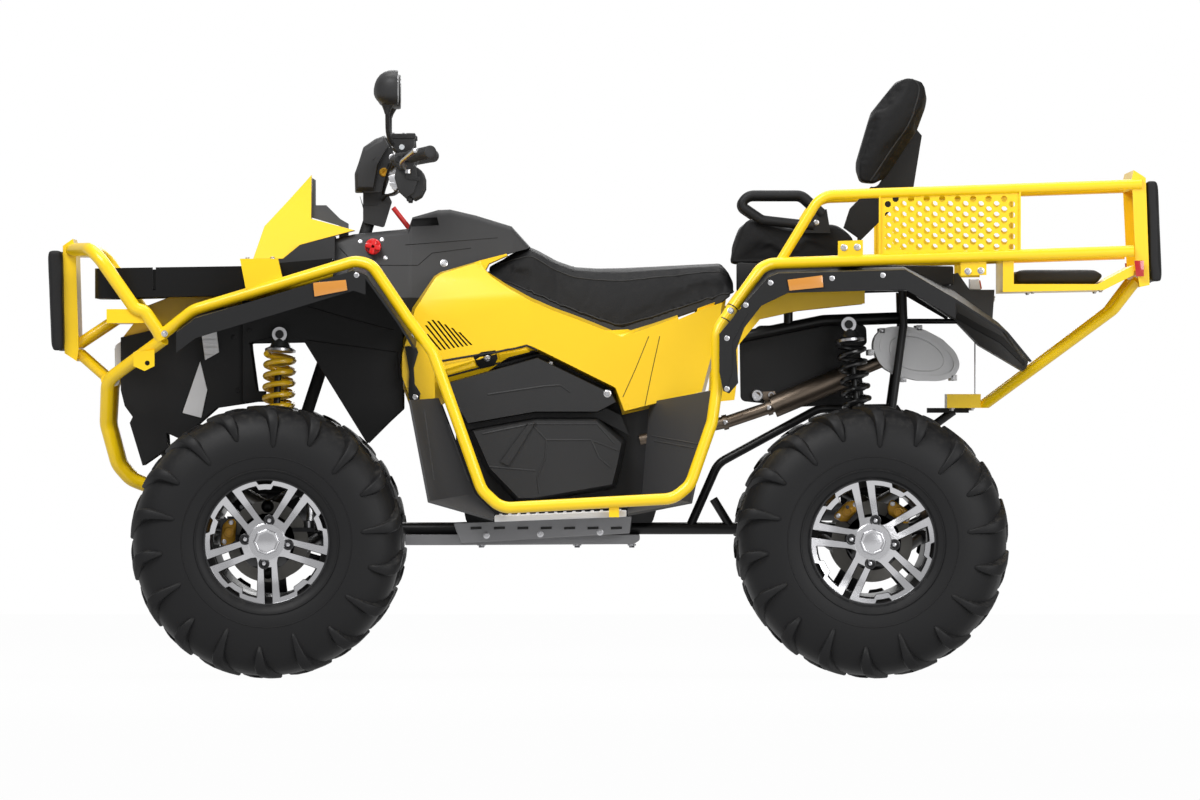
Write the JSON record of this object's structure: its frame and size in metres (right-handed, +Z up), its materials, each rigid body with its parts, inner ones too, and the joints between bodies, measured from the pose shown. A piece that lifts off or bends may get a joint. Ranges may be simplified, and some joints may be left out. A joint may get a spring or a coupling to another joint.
{
  "type": "quad bike",
  "caption": "Four-wheeled off-road quad bike with tubular guard hoops, front rack, rear load rack, straddle seat, passenger backrest, steered front wheels and lugged tyres.",
  "frame": {"origin": "on the ground, midway between the outer faces of the front and rear pads, on the centre plane", "axes": "+X towards the rear, +Y to the vehicle's right, +Z up"},
  "size_m": [2.6962, 1.18, 1.4706],
  "materials": {
    "body_black": "textured black plastic",
    "body_yellow": "gloss yellow plastic",
    "cover_black": "moulded black plastic",
    "engine_grey": "cast metal",
    "exhaust_steel": "heat-dulled steel",
    "footboard_grey": "grey plate",
    "frame_black": "semi-gloss black paint",
    "knob_red": "gloss red plastic",
    "knuckle_metal": "cast metal",
    "lamp_silver": "bright reflector",
    "pad_rubber": "matt rubber",
    "rack_black": "black powder coat",
    "reflector_amber": "moulded lens",
    "rim": "machined face over dark barrel",
    "seat_cover": "grained vinyl cover",
    "silencer_steel": "satin steel",
    "skid_grey": "pressed plate",
    "spring_black": "gloss black paint",
    "spring_yellow": "gloss yellow paint",
    "tube_yellow": "yellow powder coat",
    "tyre": "matt rubber"
  },
  "bodies": {
    "chassis": {"backrest": "seat_cover", "backrest_bracket": "body_black", "battery_switch": "knob_red", "console": "body_black", "differentials": "engine_grey", "engine": "engine_grey", "engine_covers": "cover_black", "exhaust": "exhaust_steel", "footboards": "footboard_grey", "footwells": "body_black", "frame": "frame_black", "front_arms": "frame_black", "front_bumper": "tube_yellow", "front_cowl": "body_yellow", "front_fascia": "body_black", "front_fenders": "body_black", "front_pad": "pad_rubber", "front_rack": "rack_black", "front_shocks": "spring_yellow", "grab_handles": "body_black", "half_shafts": "frame_black", "hitch": "frame_black", "lamps": "lamp_silver", "pillion": "body_black", "rack_panels": "tube_yellow", "rear_arms": "frame_black", "rear_fenders": "body_black", "rear_frame": "tube_yellow", "rear_hubs": "engine_grey", "rear_pad": "pad_rubber", "rear_rack": "tube_yellow", "rear_shelf": "rack_black", "rear_shocks": "spring_black", "reflectors": "reflector_amber", "seat": "seat_cover", "shelf_pad": "pad_rubber", "side_guard_left": "tube_yellow", "side_guard_right": "tube_yellow", "side_panel_left": "body_yellow", "side_panel_right": "body_yellow", "silencer": "silencer_steel", "skid_plate": "skid_grey", "splash_liners": "body_black", "tail": "body_black"},
    "steering": {"steering_column": "body_black", "handlebar": "frame_black", "instrument_pod": "body_black", "mirrors": "body_black"},
    "knuckle_left": {"knuckle_left": "knuckle_metal"},
    "knuckle_right": {"knuckle_right": "knuckle_metal"},
    "tie_rod_left": {"tie_rod_left": "frame_black"},
    "tie_rod_right": {"tie_rod_right": "frame_black"},
    "wheel_front_left": {"tyre_front_left": "tyre", "rim_front_left": "rim"},
    "wheel_front_right": {"tyre_front_right": "tyre", "rim_front_right": "rim"},
    "wheel_rear_left": {"tyre_rear_left": "tyre", "rim_rear_left": "rim"},
    "wheel_rear_right": {"tyre_rear_right": "tyre", "rim_rear_right": "rim"}
  },
  "joints": [
    {"name": "steering", "type": "hinge", "parent": "chassis", "child": "steering", "pos_m": [-0.52307, 0, 1.25595], "axis": [0.309, 0, 0.9511], "range_deg": [-36, 36]},
    {"name": "kingpin_left", "type": "hinge", "parent": "chassis", "child": "knuckle_left", "pos_m": [-0.81193, -0.4, 0.33], "axis": [0, 0, 1], "range_deg": [-27, 27]},
    {"name": "tie_rod_pivot_left", "type": "hinge", "parent": "knuckle_left", "child": "tie_rod_left", "pos_m": [-0.71193, -0.4, 0.372], "axis": [0, 0, 1], "range_deg": [-27, 27]},
    {"name": "front_axle_left", "type": "hinge", "parent": "knuckle_left", "child": "wheel_front_left", "pos_m": [-0.81193, -0.4755, 0.33], "axis": [0, 1, 0], "continuous": true},
    {"name": "rear_axle_left", "type": "hinge", "parent": "chassis", "child": "wheel_rear_left", "pos_m": [0.64807, -0.463, 0.33], "axis": [0, 1, 0], "continuous": true},
    {"name": "kingpin_right", "type": "hinge", "parent": "chassis", "child": "knuckle_right", "pos_m": [-0.81193, 0.4, 0.33], "axis": [0, 0, 1], "range_deg": [-27, 27]},
    {"name": "tie_rod_pivot_right", "type": "hinge", "parent": "knuckle_right", "child": "tie_rod_right", "pos_m": [-0.71193, 0.4, 0.372], "axis": [0, 0, 1], "range_deg": [-27, 27]},
    {"name": "front_axle_right", "type": "hinge", "parent": "knuckle_right", "child": "wheel_front_right", "pos_m": [-0.81193, 0.4755, 0.33], "axis": [0, 1, 0], "continuous": true},
    {"name": "rear_axle_right", "type": "hinge", "parent": "chassis", "child": "wheel_rear_right", "pos_m": [0.64807, 0.463, 0.33], "axis": [0, 1, 0], "continuous": true}
  ],
  "couplings": [
    {"joint": "kingpin_left", "follows": "steering", "ratio": 0.75},
    {"joint": "tie_rod_pivot_left", "follows": "steering", "ratio": -0.75},
    {"joint": "kingpin_right", "follows": "steering", "ratio": 0.75},
    {"joint": "tie_rod_pivot_right", "follows": "steering", "ratio": -0.75}
  ]
}
